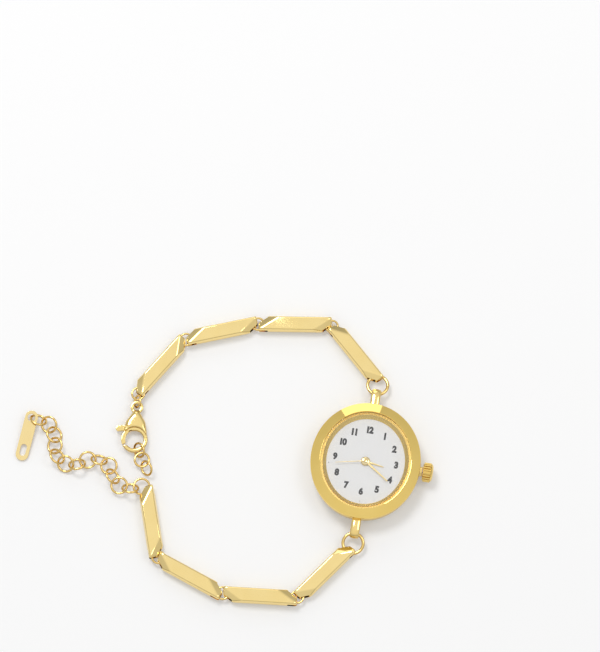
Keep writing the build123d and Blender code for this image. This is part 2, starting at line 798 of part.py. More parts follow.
def clasp_side(pin):
    """Two rings, the clasp, and the three chain rings that hang in its bow."""
    small = round_ring(link_ring_diameter, link_ring_wire)
    inside = link_ring_diameter / 2 - link_ring_wire - bar_pin_diameter / 2 - pin_play
    first = pin + direction(clasp_end_ring_heading) * inside
    written(flat_at(first, clasp_end_ring_heading, bar_level) * small, "clasp_end_ring")
    second = first + direction(clasp_heading) * clasp_end_pitch
    ring = round_ring(clasp_ring_diameter, clasp_ring_wire)
    place = standing(second, clasp_heading, clasp_ring_diameter, clasp_ring_wire, clasp_ring_roll)
    written(place * ring, "clasp_ring")
    eye = second + direction(clasp_heading) * clasp_eye_pitch
    bow = eye + direction(clasp_heading) * clasp_length
    place = flat_at(bow, clasp_heading - 270, clasp_level)
    for piece in (clasp_body, clasp_lever, clasp_rivet, clasp_spring):
        written(place * piece(), piece.__name__)
    ring = round_ring(hooked_ring_diameter, chain_ring_wire)
    hooked = bow + direction(hook_ring_heading) * (bow_outer_diameter / 2 - hook_ring_inset)
    lower = hooked + direction(hung_ring_headings[0]) * hooked_pitch
    lowest = lower + direction(hung_ring_headings[1]) * hooked_pitch
    sizes = (hooked_ring_diameter, chain_ring_wire, hooked_roll)
    written(standing(hooked, hook_ring_heading, *sizes) * ring, "hooked_ring_1")
    written(flat_at(lower, mean_heading(*hung_ring_headings), bar_level) * ring, "hooked_ring_2")
    written(standing(lowest, hung_ring_headings[1], *sizes) * ring, "hooked_ring_3")
    print("clasp", first, second, "eye", eye, "bow", bow, "hooked", hooked, lower, lowest)


# Extension chain and tag


def chain_places(pin):
    """Centre, heading, height and roll of each ring, from the last bar's pin to the tag."""
    inside = chain_ring_diameter / 2 - chain_ring_wire - bar_pin_diameter / 2 - pin_play
    centre = pin + direction(chain_start_heading) * inside
    headings = [chain_start_heading] + chain_headings + [tag_ring_heading]
    levels = [rolled_level(chain_ring_diameter, chain_ring_wire, roll) for roll in chain_rolls]
    places = []
    for index, roll in enumerate(chain_rolls):
        level = bar_level
        if 0 < index < len(chain_rolls) - 1:
            level = max(levels[index], (levels[index - 1] + levels[index + 1]) / 2)
        elif index:
            level = levels[index]
        places.append((centre, mean_heading(headings[index], headings[index + 1]), level, roll))
        centre = centre + direction(headings[index + 1]) * chain_pitch
    return places


def chain_side(pin):
    """Rings from the last bar's pin to the tag; returns the middle of the tag's hole."""
    ring = round_ring(chain_ring_diameter, chain_ring_wire)
    places = chain_places(pin)
    for index, (centre, heading, level, roll) in enumerate(places):
        written(flat_at(centre, heading, level) * Rot(roll, 0, 0) * ring, f"chain_ring_{index + 1:02d}")
    return places[-1][0] + direction(tag_ring_heading) * tag_ring_pitch


def end_tag(hole_at):
    """Thin rounded tag with a ring hole and a slot, its ring end lifted by the ring."""
    outline = SlotOverall(tag_length, tag_width)
    outline -= Pos(tag_hole_inset - tag_length / 2, 0) * Circle(tag_hole_diameter / 2)
    slot_at = tag_length / 2 - tag_slot_inset - tag_slot_length / 2 + tag_slot_width / 2
    outline -= Pos(slot_at, 0) * SlotOverall(tag_slot_length, tag_slot_width)
    plate = slab(outline, tag_thickness)
    from_hole = Pos(tag_length / 2 - tag_hole_inset, 0, 0) * plate
    lifted = Rot(0, 0, tag_heading) * Rot(0, tag_slope, 0) * from_hole
    return Pos(hole_at.X, hole_at.Y, tag_hole_level) * lifted


# Everything, piece by piece

head_pieces = [
    case_back, case_middle, bezel, crystal, inner_ring, dial, movement_holder, movement_plate,
    battery, hour_wheel, cannon_pinion, minute_wheel, hour_hand, minute_hand, second_hand,
    setting_stem, setting_lever, crown,
]
for piece in head_pieces:
    written(head(piece()), piece.__name__)

jump_ring(1, "jump_ring_12")
jump_ring(-1, "jump_ring_6")
top_end = bracelet_arm(
    1, top_bar_headings, top_pin_heading,
    [f"bar_top_{number}" for number in range(1, 5)],
    [f"link_ring_top_{number}" for number in range(1, 4)], False,
)
bottom_end = bracelet_arm(
    -1, bottom_bar_headings, bottom_pin_heading,
    [f"bar_bottom_{number}" for number in range(1, 5)],
    [f"link_ring_bottom_{number}" for number in range(1, 4)], True,
)
clasp_side(top_end)
tag_hole = chain_side(bottom_end)
written(end_tag(tag_hole), "end_tag")
print("tag hole", tag_hole)
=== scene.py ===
# %% [markdown]
# # A bracelet watch in polished gold colour
# The watch lies on a white table: a small oval head, eight faceted bars, loose wire rings, a lobster
# clasp, and an extension chain that ends in a slotted tag. The CAD model gives every size and place.
# This notebook loads it as a fixed frame, and makes the finished surfaces around it, piece by piece.

# %% Load the frame
import math
import bmesh
import bpy
import numpy as np
from mathutils import Matrix, Vector


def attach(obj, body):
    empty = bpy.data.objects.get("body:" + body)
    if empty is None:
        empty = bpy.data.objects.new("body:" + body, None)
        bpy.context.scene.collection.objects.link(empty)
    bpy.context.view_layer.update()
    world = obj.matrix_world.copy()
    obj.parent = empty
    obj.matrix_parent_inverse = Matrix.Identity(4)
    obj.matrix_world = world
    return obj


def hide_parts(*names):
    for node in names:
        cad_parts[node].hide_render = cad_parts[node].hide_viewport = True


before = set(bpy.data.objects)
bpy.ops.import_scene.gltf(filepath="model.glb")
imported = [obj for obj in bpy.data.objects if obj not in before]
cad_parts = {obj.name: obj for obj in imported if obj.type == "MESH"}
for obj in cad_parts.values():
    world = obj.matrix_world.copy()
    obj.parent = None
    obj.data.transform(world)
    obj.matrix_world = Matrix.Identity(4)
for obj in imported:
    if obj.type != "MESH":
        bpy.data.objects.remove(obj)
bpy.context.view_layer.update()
MM = 0.001
scene = bpy.context.scene
scene.view_settings.view_transform = "Standard"

# %% [markdown]
# ## The camera
# The photograph looks down steeply, about 15 degrees off the vertical. A long lens keeps the bars at the
# top and at the bottom of the layout at the same scale, as they are in the photograph. The lens is worked
# out from the scale of the watch head in the picture, in pixels for each millimetre.

# %% Camera at the photograph's angle
picture_width, picture_height = 600, 652
head_pixel = (365.6, 460.4)
pixels_per_mm = 4.6
elevation = math.radians(75)
distance = 1200 * MM
toward_camera = Vector((0, -math.cos(elevation), math.sin(elevation)))
picture_up = Vector((0, math.sin(elevation), math.cos(elevation)))
head_centre = Vector((0, 0, 5 * MM))
across = (picture_width / 2 - head_pixel[0]) / pixels_per_mm * MM
upward = (head_pixel[1] - picture_height / 2) / pixels_per_mm * MM
aim = head_centre + Vector((across, 0, 0)) + picture_up * upward

lens_data = bpy.data.cameras.new("photo_camera")
lens_data.sensor_fit = "HORIZONTAL"
lens_data.lens = lens_data.sensor_width * pixels_per_mm * (distance / MM) / picture_width
lens_data.clip_start = 0.01
camera = bpy.data.objects.new("photo_camera", lens_data)
camera.location = aim + toward_camera * distance
camera.rotation_euler = toward_camera.to_track_quat("Z", "Y").to_euler()
scene.collection.objects.link(camera)
scene.camera = camera
print("lens", round(lens_data.lens, 1), "mm, aimed at", [round(v / MM, 1) for v in aim])

# %% [markdown]
# ## Table, lamps and world
# Polished metal shows the room round it. The room here is a plain light tent: a pale table, a neutral dome
# that is white overhead and greyer toward the horizon, and soft boxes that the gold mirrors as highlights.
# The camera, the metal and the glass all see the same table and the same dome.

# %% Table
def new_material(name):
    material = bpy.data.materials.new(name)
    material.use_nodes = True
    material.node_tree.nodes.clear()
    return material, material.node_tree


def link(tree, out_node, out_name, in_node, in_name):
    tree.links.new(out_node.outputs[out_name], in_node.inputs[in_name])


def showing_rays(tree):
    """1 for the rays that show the background: camera, glossy and transmission rays; 0 for the rest."""
    rays = tree.nodes.new("ShaderNodeLightPath")
    shown = rays.outputs["Is Camera Ray"]
    for kind in ("Is Glossy Ray", "Is Transmission Ray"):
        larger = tree.nodes.new("ShaderNodeMath")
        larger.operation = "MAXIMUM"
        tree.links.new(shown, larger.inputs[0])
        link(tree, rays, kind, larger, 1)
        shown = larger.outputs[0]
    return shown


table_tone, white_share = 0.90, 0.2
table_material, tree = new_material("white_table")
output = tree.nodes.new("ShaderNodeOutputMaterial")
matt = tree.nodes.new("ShaderNodeBsdfDiffuse")
matt.inputs["Color"].default_value = (*[table_tone] * 3, 1)
glow = tree.nodes.new("ShaderNodeEmission")
glow.inputs["Color"].default_value = (1, 1, 1, 1)
glow.inputs["Strength"].default_value = 1.0
share = tree.nodes.new("ShaderNodeMath")
share.operation = "MULTIPLY"
share.inputs[1].default_value = white_share
tree.links.new(showing_rays(tree), share.inputs[0])
mix = tree.nodes.new("ShaderNodeMixShader")
tree.links.new(share.outputs[0], mix.inputs[0])
tree.links.new(matt.outputs[0], mix.inputs[1])
tree.links.new(glow.outputs[0], mix.inputs[2])
tree.links.new(mix.outputs[0], output.inputs["Surface"])

table_mesh = bpy.data.meshes.new("table")
reach = 3.0
table_mesh.from_pydata([(-reach, -reach, 0), (reach, -reach, 0), (reach, reach, 0), (-reach, reach, 0)], [],
                       [(0, 1, 2, 3)])
table = bpy.data.objects.new("table", table_mesh)
table_mesh.materials.append(table_material)
scene.collection.objects.link(table)

# %% Lamps
def area_lamp(name, place, size, power, aim_at=(-0.02, 0, 0)):
    data = bpy.data.lights.new(name, "AREA")
    data.shape = "DISK"
    data.size = size
    data.energy = power
    lamp = bpy.data.objects.new(name, data)
    lamp.location = place
    lamp.rotation_euler = (Vector(place) - Vector(aim_at)).to_track_quat("Z", "Y").to_euler()
    scene.collection.objects.link(lamp)
    return lamp


area_lamp("key_softbox", (-0.25, 0.38, 0.8), 0.34, 2.9)
area_lamp("fill_softbox", (0.5, 0.1, 0.8), 0.4, 0.9)
area_lamp("back_softbox", (-0.05, 0.8, 0.42), 0.5, 0.6)

# %% World
horizon_level, ambient_level = 0.35, 0.64
world = bpy.data.worlds.new("light_tent")
scene.world = world
world.use_nodes = True
tree = world.node_tree
tree.nodes.clear()
way = tree.nodes.new("ShaderNodeTexCoord")
height = tree.nodes.new("ShaderNodeSeparateXYZ")
link(tree, way, "Generated", height, 0)
dome = tree.nodes.new("ShaderNodeValToRGB")
link(tree, height, "Z", dome, "Fac")
horizon, zenith = dome.color_ramp.elements
horizon.position, horizon.color = 0.0, (*[horizon_level] * 3, 1)
zenith.position, zenith.color = 1.0, (1, 1, 1, 1)
shown = tree.nodes.new("ShaderNodeBackground")
link(tree, dome, "Color", shown, "Color")
ambient = tree.nodes.new("ShaderNodeBackground")
ambient.inputs["Color"].default_value = (1, 1, 1, 1)
ambient.inputs["Strength"].default_value = ambient_level
mix = tree.nodes.new("ShaderNodeMixShader")
tree.links.new(showing_rays(tree), mix.inputs[0])
tree.links.new(ambient.outputs[0], mix.inputs[1])
tree.links.new(shown.outputs[0], mix.inputs[2])
output = tree.nodes.new("ShaderNodeOutputWorld")
tree.links.new(mix.outputs[0], output.inputs["Surface"])

# %% [markdown]
# ## Polish and wear, shared by all metals
# Real plating is never one flat value: the tone drifts a little over a few millimetres, and cloth leaves
# hairline marks. One node group holds this, and each metal sets its own tones, scales and strengths.

# %% The wear group
def group_socket(group, name, kind, way, value=None):
    socket = group.interface.new_socket(name=name, in_out=way, socket_type=kind)
    if value is not None:
        socket.default_value = value
    return socket


wear = bpy.data.node_groups.new("polish_and_wear", "ShaderNodeTree")
group_socket(wear, "Light tone", "NodeSocketColor", "INPUT", (0.9, 0.7, 0.3, 1))
group_socket(wear, "Deep tone", "NodeSocketColor", "INPUT", (0.8, 0.55, 0.2, 1))
group_socket(wear, "Drift scale", "NodeSocketFloat", "INPUT", 300.0)
group_socket(wear, "Mark scale", "NodeSocketFloat", "INPUT", 2500.0)
group_socket(wear, "Smoothest", "NodeSocketFloat", "INPUT", 0.06)
group_socket(wear, "Roughest", "NodeSocketFloat", "INPUT", 0.16)
group_socket(wear, "Mark depth", "NodeSocketFloat", "INPUT", 0.02)
group_socket(wear, "Wave depth", "NodeSocketFloat", "INPUT", 0.0)
group_socket(wear, "Colour", "NodeSocketColor", "OUTPUT")
group_socket(wear, "Roughness", "NodeSocketFloat", "OUTPUT")
group_socket(wear, "Normal", "NodeSocketVector", "OUTPUT")
nodes = wear.nodes
inlet, outlet = nodes.new("NodeGroupInput"), nodes.new("NodeGroupOutput")
where = nodes.new("ShaderNodeTexCoord")
drift = nodes.new("ShaderNodeTexNoise")
drift.inputs["Detail"].default_value = 3.0
link(wear, where, "Object", drift, "Vector")
link(wear, inlet, "Drift scale", drift, "Scale")
tones = nodes.new("ShaderNodeMix")
tones.data_type = "RGBA"
link(wear, drift, "Fac", tones, "Factor")
wear.links.new(inlet.outputs["Deep tone"], tones.inputs["A"])
wear.links.new(inlet.outputs["Light tone"], tones.inputs["B"])
wear.links.new(tones.outputs["Result"], outlet.inputs["Colour"])
stretch = nodes.new("ShaderNodeMapping")
stretch.inputs["Scale"].default_value = (1.0, 0.08, 0.5)
stretch.inputs["Rotation"].default_value = (0, 0, 0.7)
link(wear, where, "Object", stretch, "Vector")
marks = nodes.new("ShaderNodeTexNoise")
marks.inputs["Detail"].default_value = 2.0
link(wear, stretch, "Vector", marks, "Vector")
link(wear, inlet, "Mark scale", marks, "Scale")
spread = nodes.new("ShaderNodeMapRange")
link(wear, marks, "Fac", spread, "Value")
wear.links.new(inlet.outputs["Smoothest"], spread.inputs["To Min"])
wear.links.new(inlet.outputs["Roughest"], spread.inputs["To Max"])
wear.links.new(spread.outputs["Result"], outlet.inputs["Roughness"])
dent = nodes.new("ShaderNodeBump")
dent.inputs["Distance"].default_value = 0.00002
link(wear, inlet, "Mark depth", dent, "Strength")
link(wear, marks, "Fac", dent, "Height")
wave = nodes.new("ShaderNodeTexNoise")
wave.inputs["Scale"].default_value = 90.0
wave.inputs["Detail"].default_value = 0.0
link(wear, where, "Object", wave, "Vector")
pillow = nodes.new("ShaderNodeBump")
pillow.inputs["Distance"].default_value = 0.001
link(wear, inlet, "Wave depth", pillow, "Strength")
link(wear, wave, "Fac", pillow, "Height")
link(wear, dent, "Normal", pillow, "Normal")
wear.links.new(pillow.outputs["Normal"], outlet.inputs["Normal"])


def metal(name, light, deep, smooth, rough, drift_scale=300.0, mark_scale=2500.0, depth=0.05, waves=0.0,
          painted_side_shade=None):
    """A metal with tone, gloss and hairlines from the wear group; the last argument is a painted shade, the darker tone
    painted where the surface faces sideways, off its crests.
    """
    material, tree = new_material(name)
    output = tree.nodes.new("ShaderNodeOutputMaterial")
    shader = tree.nodes.new("ShaderNodeBsdfPrincipled")
    shader.inputs["Metallic"].default_value = 1.0
    finish = tree.nodes.new("ShaderNodeGroup")
    finish.node_tree = wear
    finish.inputs["Light tone"].default_value = (*light, 1)
    finish.inputs["Deep tone"].default_value = (*deep, 1)
    finish.inputs["Drift scale"].default_value = drift_scale
    finish.inputs["Mark scale"].default_value = mark_scale
    finish.inputs["Smoothest"].default_value = smooth
    finish.inputs["Roughest"].default_value = rough
    finish.inputs["Mark depth"].default_value = depth
    finish.inputs["Wave depth"].default_value = waves
    tone = finish.outputs["Colour"]
    # Painted shade: the tone darkens where the surface faces sideways, by each point's crest value.
    if painted_side_shade is not None:
        crest = tree.nodes.new("ShaderNodeAttribute")
        crest.attribute_name = "crest"
        side_shade_ramp = tree.nodes.new("ShaderNodeMapRange")
        side_shade_ramp.interpolation_type = "SMOOTHSTEP"
        side_shade_ramp.inputs["From Min"].default_value = 0.5
        side_shade_ramp.inputs["From Max"].default_value = 0.88
        link(tree, crest, "Fac", side_shade_ramp, "Value")
        tones = tree.nodes.new("ShaderNodeMix")
        tones.data_type = "RGBA"
        tones.inputs["A"].default_value = (*painted_side_shade, 1)
        link(tree, side_shade_ramp, "Result", tones, "Factor")
        tree.links.new(tone, tones.inputs["B"])
        tone = tones.outputs["Result"]
    tree.links.new(tone, shader.inputs["Base Color"])
    link(tree, finish, "Roughness", shader, "Roughness")
    link(tree, finish, "Normal", shader, "Normal")
    tree.links.new(shader.outputs[0], output.inputs["Surface"])
    return material


bar_gold = metal("bar_gold", (0.93, 0.74, 0.34), (0.88, 0.67, 0.27), 0.04, 0.10, waves=1.0)
# Tag, ring and clasp golds get a painted shade: a darker tone on each piece's sides, where the surface faces sideways.
tag_gold = metal("tag_gold", (0.92, 0.74, 0.37), (0.87, 0.67, 0.30), 0.08, 0.16, waves=0.25, painted_side_shade=(0.72, 0.52, 0.22))
ring_gold = metal("ring_gold", (0.90, 0.67, 0.27), (0.83, 0.58, 0.20), 0.08, 0.16, painted_side_shade=(0.66, 0.44, 0.14))
clasp_gold = metal("clasp_gold", (0.92, 0.72, 0.31), (0.86, 0.65, 0.24), 0.05, 0.11, painted_side_shade=(0.70, 0.49, 0.18))
bezel_gold = metal("bezel_gold", (0.90, 0.67, 0.22), (0.85, 0.61, 0.17), 0.02, 0.06, mark_scale=1800.0)
case_gold = metal("case_gold", (0.90, 0.69, 0.29), (0.85, 0.62, 0.22), 0.06, 0.14)
rim_gold = metal("rim_gold", (0.90, 0.66, 0.22), (0.85, 0.60, 0.17), 0.22, 0.32)
crown_gold = metal("crown_gold", (0.89, 0.66, 0.23), (0.83, 0.59, 0.17), 0.08, 0.16)
hand_gold = metal("hand_gold", (0.88, 0.70, 0.34), (0.82, 0.62, 0.26), 0.25, 0.38, drift_scale=900.0)
hub_gold = metal("hub_gold", (0.92, 0.76, 0.42), (0.88, 0.70, 0.35), 0.08, 0.16, drift_scale=900.0)
back_steel = metal("back_steel", (0.74, 0.73, 0.70), (0.64, 0.63, 0.61), 0.22, 0.36, mark_scale=1500.0, depth=0.2)
part_steel = metal("part_steel", (0.72, 0.72, 0.73), (0.62, 0.62, 0.64), 0.2, 0.34)
plate_nickel = metal("plate_nickel", (0.78, 0.75, 0.68), (0.70, 0.67, 0.60), 0.25, 0.4)
wheel_brass = metal("wheel_brass", (0.86, 0.66, 0.30), (0.78, 0.56, 0.22), 0.2, 0.34, drift_scale=1500.0)
print("metals:", len([m for m in bpy.data.materials if "gold" in m.name or "steel" in m.name]))

# %% [markdown]
# ## Lacquer, ink, glass and plastic
# The dial is satin white lacquer with the faintest mottling, so it gets a noise of its own rather than the
# metals' group. The crystal must let the dial through almost untouched, so it is mostly clear.

# %% Non-metals
def coated(name, colour, second_colour, roughness, scale, bump):
    """A lacquer, ink or plastic whose tone wanders between two colours."""
    material, tree = new_material(name)
    output = tree.nodes.new("ShaderNodeOutputMaterial")
    shader = tree.nodes.new("ShaderNodeBsdfPrincipled")
    where = tree.nodes.new("ShaderNodeTexCoord")
    grain = tree.nodes.new("ShaderNodeTexNoise")
    grain.inputs["Scale"].default_value = scale
    grain.inputs["Detail"].default_value = 4.0
    link(tree, where, "Object", grain, "Vector")
    tones = tree.nodes.new("ShaderNodeMix")
    tones.data_type = "RGBA"
    tones.inputs["A"].default_value = (*colour, 1)
    tones.inputs["B"].default_value = (*second_colour, 1)
    link(tree, grain, "Fac", tones, "Factor")
    tree.links.new(tones.outputs["Result"], shader.inputs["Base Color"])
    shader.inputs["Roughness"].default_value = roughness
    dent = tree.nodes.new("ShaderNodeBump")
    dent.inputs["Distance"].default_value = 0.00001
    dent.inputs["Strength"].default_value = bump
    link(tree, grain, "Fac", dent, "Height")
    link(tree, dent, "Normal", shader, "Normal")
    tree.links.new(shader.outputs[0], output.inputs["Surface"])
    return material


dial_lacquer = coated("dial_lacquer", (0.80, 0.80, 0.80), (0.86, 0.86, 0.86), 0.42, 3000.0, 0.25)
dial_ink = coated("dial_ink", (0.012, 0.012, 0.014), (0.03, 0.03, 0.033), 0.5, 5000.0, 0.2)
holder_plastic = coated("holder_plastic", (0.78, 0.77, 0.72), (0.83, 0.82, 0.78), 0.5, 1500.0, 0.4)

crystal_clear, tree = new_material("crystal_clear")
output = tree.nodes.new("ShaderNodeOutputMaterial")
shader = tree.nodes.new("ShaderNodeBsdfPrincipled")
shader.inputs["Base Color"].default_value = (0.45, 0.45, 0.45, 1)
shader.inputs["Roughness"].default_value = 0.02
shader.inputs["Alpha"].default_value = 0.06
tree.links.new(shader.outputs[0], output.inputs["Surface"])

# %% [markdown]
# ## Small tools of the bench
# Every finished piece sits at the origin with its place in its mesh, as the CAD nodes do. These helpers
# turn points into meshes, bake modifiers down, and hand a piece over to the CAD body that it moves with.

# %% Helpers
head_lean = math.radians(-8.8)
oval_rise = 0.95
lean = Matrix.Rotation(head_lean, 4, "Z")


def smooth_by_angle(mesh, degrees):
    """Smooth shading, broken at edges sharper than an angle."""
    for face in mesh.polygons:
        face.use_smooth = True
    mesh.set_sharp_from_angle(angle=math.radians(degrees))


def mark_crests(mesh):
    """Remember how far each point faces up or down, for the painted shade that darkens the tone where it faces
    sideways.
    """
    normals = np.empty(len(mesh.vertices) * 3, dtype=np.float32)
    mesh.vertices.foreach_get("normal", normals)
    crest = mesh.attributes.new("crest", "FLOAT", "POINT")
    crest.data.foreach_set("value", np.abs(normals[2::3]))


def object_from(name, mesh, *materials):
    piece = bpy.data.objects.new(name, mesh)
    mesh.materials.clear()
    for material in materials:
        mesh.materials.append(material)
    scene.collection.objects.link(piece)
    return piece


def mesh_from(name, points, faces):
    mesh = bpy.data.meshes.new(name)
    mesh.from_pydata([tuple(Vector(p) * MM) for p in points], [], faces)
    shape = bmesh.new()
    shape.from_mesh(mesh)
    bmesh.ops.recalc_face_normals(shape, faces=shape.faces)
    shape.to_mesh(mesh)
    shape.free()
    return mesh


def baked(piece):
    """The piece with its modifiers turned into plain mesh."""
    graph = bpy.context.evaluated_depsgraph_get()
    mesh = bpy.data.meshes.new_from_object(piece.evaluated_get(graph))
    piece.modifiers.clear()
    piece.data = mesh
    return piece


def hand_over(piece, body, slot, *replaced):
    """Ride on a CAD body, and stand for CAD nodes where they are named."""
    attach(piece, body)
    if replaced:
        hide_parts(*replaced)
    return piece


def solid_copy(node, name):
    """A CAD node's shape as a clean mesh: merged points and flat faces made whole."""
    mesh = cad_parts[node].data.copy()
    shape = bmesh.new()
    shape.from_mesh(mesh)
    bmesh.ops.remove_doubles(shape, verts=shape.verts, dist=0.002 * MM)
    bmesh.ops.dissolve_limit(shape, angle_limit=math.radians(1), verts=shape.verts, edges=shape.edges)
    shape.to_mesh(mesh)
    shape.free()
    mesh.name = name
    return mesh


def rounded_edges(piece, width, segments=2, angle=22):
    bevel = piece.modifiers.new("soft_edges", "BEVEL")
    bevel.width = width * MM
    bevel.segments = segments
    bevel.limit_method = "ANGLE"
    bevel.angle_limit = math.radians(angle)
    bevel.use_clamp_overlap = True
    baked(piece)
    smooth_by_angle(piece.data, 40)
    return piece


def flats_first(piece):
    """Let the large flat faces decide the shading beside a bevel."""
    weigh = piece.modifiers.new("flat_first", "WEIGHTED_NORMAL")
    weigh.keep_sharp = True
    weigh.weight = 100
    baked(piece)


# %% [markdown]
# ## Bars
# Each bar is a bright flat-topped block with skew, wedge-cut ends. The CAD solid has its facets at one end
# only, so here they are cut at both ends, and steeper above. Polishing rounds the edges a little, and those
# small rounds catch the lamps as thin lines, so every edge gets a bevel.

# %% Bar tools
def hull_of(node):
    """Convex outer shape of a CAD node, with flat faces made whole."""
    shape = bmesh.new()
    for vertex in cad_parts[node].data.vertices:
        shape.verts.new(vertex.co)
    bmesh.ops.remove_doubles(shape, verts=shape.verts, dist=0.002 * MM)
    bmesh.ops.convex_hull(shape, input=shape.verts)
    bmesh.ops.delete(shape, geom=[v for v in shape.verts if not v.link_faces], context="VERTS")
    bmesh.ops.dissolve_limit(shape, angle_limit=math.radians(0.5), verts=shape.verts, edges=shape.edges)
    bmesh.ops.recalc_face_normals(shape, faces=shape.faces)
    return shape


def long_way(shape):
    """Direction of the longest edge, which runs along the bar."""
    longest = max(shape.edges, key=lambda edge: edge.calc_length())
    return (longest.verts[1].co - longest.verts[0].co).normalized()


def middle_of(shape, along):
    """Middle of the bar, half way between its ends and sides."""
    across = Vector((-along.y, along.x, 0))
    spans = []
    for way in (along, across):
        places = [v.co.dot(way) for v in shape.verts]
        spans.append((min(places) + max(places)) / 2)
    levels = [v.co.z for v in shape.verts]
    return along * spans[0] + across * spans[1] + Vector((0, 0, (min(levels) + max(levels)) / 2))


def trimmed(shape, point, normal):
    """Cut away what lies beyond a plane, and close the cut."""
    everything = list(shape.verts) + list(shape.edges) + list(shape.faces)
    bmesh.ops.bisect_plane(shape, geom=everything, plane_co=point, plane_no=normal, clear_outer=True, dist=0.001 * MM)
    bmesh.ops.holes_fill(shape, edges=[edge for edge in shape.edges if len(edge.link_faces) == 1])
    bmesh.ops.dissolve_limit(shape, angle_limit=math.radians(0.5), verts=shape.verts, edges=shape.edges)


def wedge_ends(shape, middle, steepness):
    """Cut the end facets above and below at both ends, from the ones that the CAD bar has."""
    cuts = []
    for face in shape.faces:
        if 0.5 < abs(face.normal.z) < 0.97:
            over = math.copysign(1.0, face.normal.z)
            sideways = Vector((face.normal.x, face.normal.y, 0)).normalized()
            tilt = steepness if over > 0 else math.acos(abs(face.normal.z))
            outer = max(face.verts, key=lambda v: v.co.z * over).co.copy()
            cuts.append((outer, sideways * math.sin(tilt) + Vector((0, 0, over * math.cos(tilt)))))
    for point, normal in cuts:
        trimmed(shape, point, normal)
        other_point = Vector((2 * middle.x - point.x, 2 * middle.y - point.y, point.z))
        trimmed(shape, other_point, Vector((-normal.x, -normal.y, normal.z)))


def cutter(name, place, boxes, cylinders):
    """Object of plain boxes and upright cylinders, to cut from or add to a piece."""
    shape = bmesh.new()
    for middle, size in boxes:
        sized = Matrix.Translation(middle) @ Matrix.Diagonal((*size, 1.0))
        bmesh.ops.create_cube(shape, size=1.0, matrix=place @ sized)
    for middle, radius, height in cylinders:
        bmesh.ops.create_cone(shape, cap_ends=True, segments=24, radius1=radius, radius2=radius, depth=height,
                              matrix=place @ Matrix.Translation(middle))
    mesh = bpy.data.meshes.new(name)
    shape.to_mesh(mesh)
    shape.free()
    return object_from(name, mesh)


def combined(piece, tool, operation):
    step = piece.modifiers.new(operation.lower(), "BOOLEAN")
    step.operation = operation
    step.solver = "EXACT"
    step.object = tool


# %% Bars with polished edges
bar_end, pin_place, slot_height, pin_radius = 8.025, 7.375, 1.1, 0.3
slot_length, slot_width = 2.0, 4.2
bar_bevel, facet_slope = 0.32, math.radians(31)
for arm in ("top", "bottom"):
    for number in range(1, 5):
        node = f"bar_{arm}_{number}"
        shape = hull_of(node)
        along = long_way(shape)
        middle = middle_of(shape, along)
        wedge_ends(shape, middle, facet_slope)
        bmesh.ops.recalc_face_normals(shape, faces=shape.faces)
        mesh = bpy.data.meshes.new(f"polished_{node}")
        shape.to_mesh(mesh)
        shape.free()
        piece = object_from(f"polished_{node}", mesh, bar_gold)
        bevel = piece.modifiers.new("soft_edges", "BEVEL")
        bevel.width, bevel.segments = bar_bevel * MM, 4
        bevel.limit_method, bevel.angle_limit = "ANGLE", math.radians(8)
        turn = Matrix.Rotation(math.atan2(along.y, along.x), 4, "Z")
        place = Matrix.Translation(middle) @ turn @ Matrix.Scale(MM, 4)
        slots = cutter("slots", place, [
            (Vector((side * (bar_end - slot_length / 2 + 0.2), 0, 0)), (slot_length + 0.4, slot_width, slot_height))
            for side in (1, -1)
        ], [])
        pins = cutter("pins", place, [], [
            (Vector((side * pin_place, 0, 0)), pin_radius, slot_height + 0.2) for side in (1, -1)
        ])
        combined(piece, slots, "DIFFERENCE")
        combined(piece, pins, "UNION")
        baked(piece)
        bpy.data.objects.remove(slots)
        bpy.data.objects.remove(pins)
        smooth_by_angle(piece.data, 35)
        flats_first(piece)
        print(node, "faces:", len(piece.data.polygons))
        hand_over(piece, node, "polished_gold", node)

# %% [markdown]
# ## Wire rings
# All the rings are bent from round wire and closed to a hairline slit. They repeat, so one Geometry Nodes
# tree bends them: an arc gives the path, a small circle gives the wire, and named inputs give the sizes.
# The place of each ring is read from its CAD node: its middle, and the direction that it faces.

# %% The ring tree
ring_tree = bpy.data.node_groups.new("wire_ring", "GeometryNodeTree")
group_socket(ring_tree, "Ring diameter", "NodeSocketFloat", "INPUT", 0.0031)
group_socket(ring_tree, "Wire", "NodeSocketFloat", "INPUT", 0.00045)
group_socket(ring_tree, "Slit angle", "NodeSocketFloat", "INPUT", 0.02)
group_socket(ring_tree, "Slit place", "NodeSocketFloat", "INPUT", 0.0)
group_socket(ring_tree, "Finish", "NodeSocketMaterial", "INPUT")
group_socket(ring_tree, "Geometry", "NodeSocketGeometry", "OUTPUT")
nodes = ring_tree.nodes
inlet, outlet = nodes.new("NodeGroupInput"), nodes.new("NodeGroupOutput")


def calculation(operation, first, second):
    step = nodes.new("ShaderNodeMath")
    step.operation = operation
    for socket, value in zip(step.inputs, (first, second)):
        if isinstance(value, float):
            socket.default_value = value
        else:
            ring_tree.links.new(value, socket)
    return step.outputs[0]


